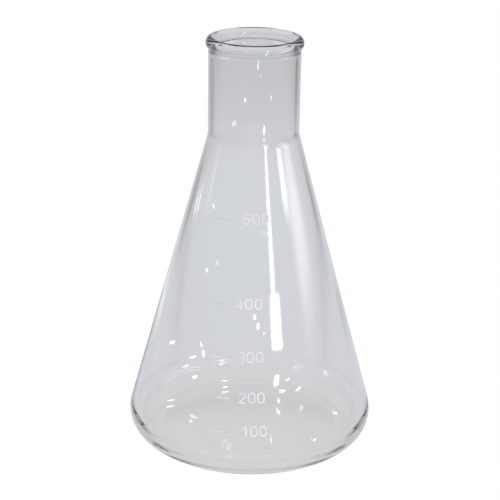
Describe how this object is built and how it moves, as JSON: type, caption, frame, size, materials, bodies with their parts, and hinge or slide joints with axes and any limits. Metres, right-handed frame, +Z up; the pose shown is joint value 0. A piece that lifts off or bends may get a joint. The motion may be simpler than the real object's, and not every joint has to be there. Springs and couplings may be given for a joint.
{
  "type": "erlenmeyer flask",
  "caption": "Narrow-neck conical laboratory flask of clear glass, with a rolled bead rim, a pushed-up foot and a white enamel volume scale on its front.",
  "frame": {"origin": "on the flask's axis, at the height of the ring that the foot rests on", "axes": "+Z up the flask's axis towards the mouth; the enamel scale faces -Y; +X is to the scale's right"},
  "size_m": [0.105, 0.105, 0.175],
  "materials": {
    "glass": "polished clear borosilicate glass",
    "enamel": "satin white fired enamel"
  },
  "bodies": {
    "root": {"flask_body": "glass", "unit_mark": "enamel", "graduation_line_100": "enamel", "graduation_line_200": "enamel", "graduation_line_300": "enamel", "graduation_line_400": "enamel", "graduation_line_500": "enamel", "numeral_100": "enamel", "numeral_200": "enamel", "numeral_300": "enamel", "numeral_400": "enamel", "numeral_500": "enamel"}
  },
  "joints": []
}
